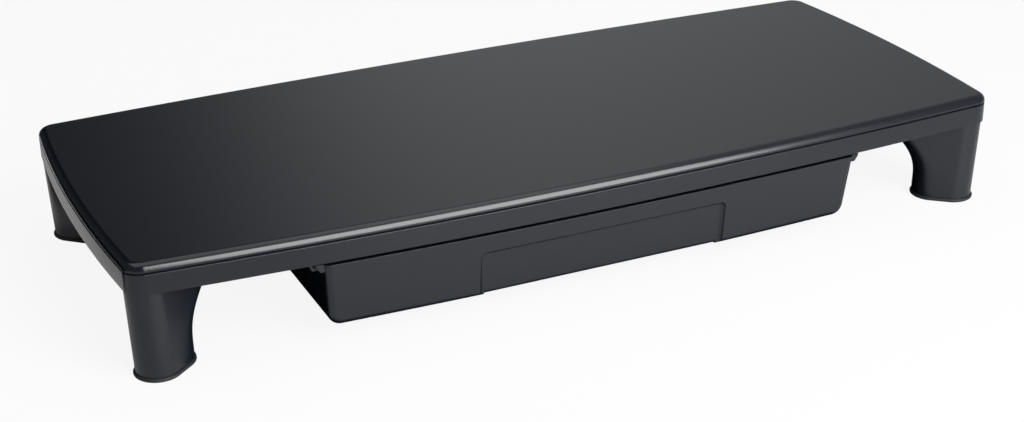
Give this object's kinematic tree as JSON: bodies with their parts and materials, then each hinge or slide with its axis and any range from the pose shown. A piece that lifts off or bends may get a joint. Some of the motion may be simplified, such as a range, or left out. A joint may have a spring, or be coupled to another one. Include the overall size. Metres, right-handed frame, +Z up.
{
  "type": "monitor stand with drawer",
  "caption": "Low rectangular stand with bowed sides and rounded edges on corner legs, with a shallow tray drawer that slides out from under its front.",
  "frame": {"origin": "on the desk, under the middle of the top's bounding box", "axes": "+X along the long side to the right, +Y to the back, away from the drawer's front, +Z up"},
  "size_m": [0.56, 0.2378, 0.0704],
  "materials": {
    "top_plastic": "fine satin, charcoal black",
    "frame_plastic": "satin, charcoal black",
    "leg_plastic": "satin, charcoal black",
    "drawer_plastic": "fine grain, charcoal black",
    "rail_plastic": "as moulded, black",
    "foot_rubber": "soft matt black",
    "screw_steel": "zinc-plated"
  },
  "bodies": {
    "stand": {"top_panel": "top_plastic", "under_frame": "frame_plastic", "leg_front_left": "leg_plastic", "leg_front_right": "leg_plastic", "leg_back_left": "leg_plastic", "leg_back_right": "leg_plastic", "foot_front_left": "foot_rubber", "foot_front_right": "foot_rubber", "foot_back_left": "foot_rubber", "foot_back_right": "foot_rubber", "rail_left": "rail_plastic", "rail_right": "rail_plastic", "leg_screws_front_left": "screw_steel", "leg_screws_front_right": "screw_steel", "leg_screws_back_left": "screw_steel", "leg_screws_back_right": "screw_steel", "rail_screws_left": "screw_steel", "rail_screws_right": "screw_steel", "panel_screws": "screw_steel"},
    "drawer": {"drawer_tray": "drawer_plastic"}
  },
  "joints": [
    {"name": "drawer_slide", "type": "slide", "parent": "stand", "child": "drawer", "axis": [0, -1, 0], "range_m": [0, 0.15]}
  ]
}
